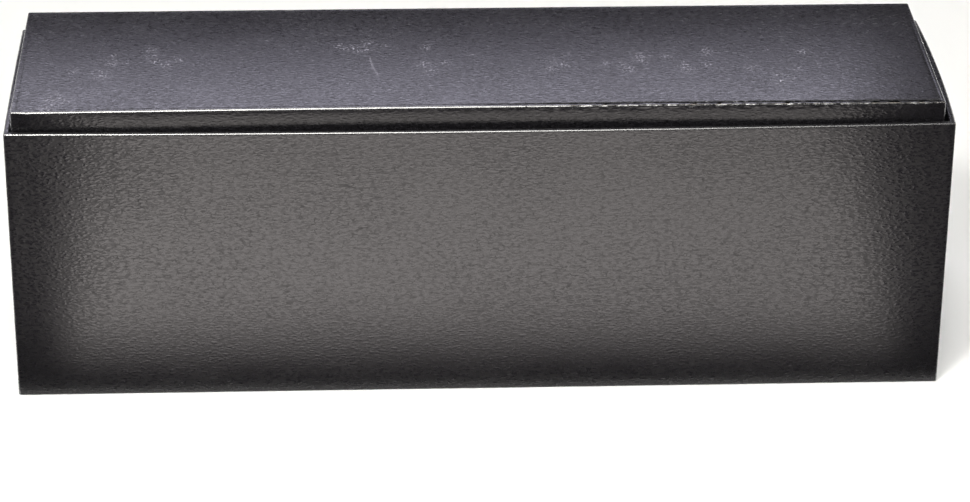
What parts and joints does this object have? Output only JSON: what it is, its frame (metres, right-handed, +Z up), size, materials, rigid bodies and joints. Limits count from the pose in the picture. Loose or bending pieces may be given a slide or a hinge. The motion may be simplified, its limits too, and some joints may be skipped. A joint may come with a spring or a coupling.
{
  "type": "graded card storage box",
  "caption": "Long rigid board box covered in black leather-grain paper, foam lined, with a back-hinged lid that drops inside the rim.",
  "frame": {"origin": "centre of the box's footprint, on the surface that it stands on", "axes": "+X along the length to the right, +Y from the front to the hinged back, +Z up"},
  "size_m": [0.44, 0.1231, 0.146],
  "materials": {
    "leatherette": "satin",
    "greyboard": "matte",
    "kraft_tape": "matte",
    "black_paper": "matte",
    "black_foam": "matte"
  },
  "bodies": {
    "base": {"floor_board": "greyboard", "front_board": "greyboard", "back_board": "greyboard", "left_board": "greyboard", "right_board": "greyboard", "base_corner_stays": "kraft_tape", "base_wrap": "leatherette", "underside_sheet": "black_paper", "foam_floor_pad": "black_foam", "foam_front_pad": "black_foam", "foam_back_pad": "black_foam", "foam_left_pad": "black_foam", "foam_right_pad": "black_foam", "hinge_strip": "leatherette"},
    "lid": {"lid_top_board": "greyboard", "lid_front_board": "greyboard", "lid_back_board": "greyboard", "lid_left_board": "greyboard", "lid_right_board": "greyboard", "lid_corner_stays": "kraft_tape", "lid_wrap": "leatherette", "lid_lining": "black_paper"}
  },
  "joints": [
    {"name": "lid_hinge", "type": "hinge", "parent": "base", "child": "lid", "pos_m": [0, 0.06, 0.137], "axis": [-1, 0, 0], "range_deg": [0, 175], "deforming": ["hinge_strip"]}
  ]
}
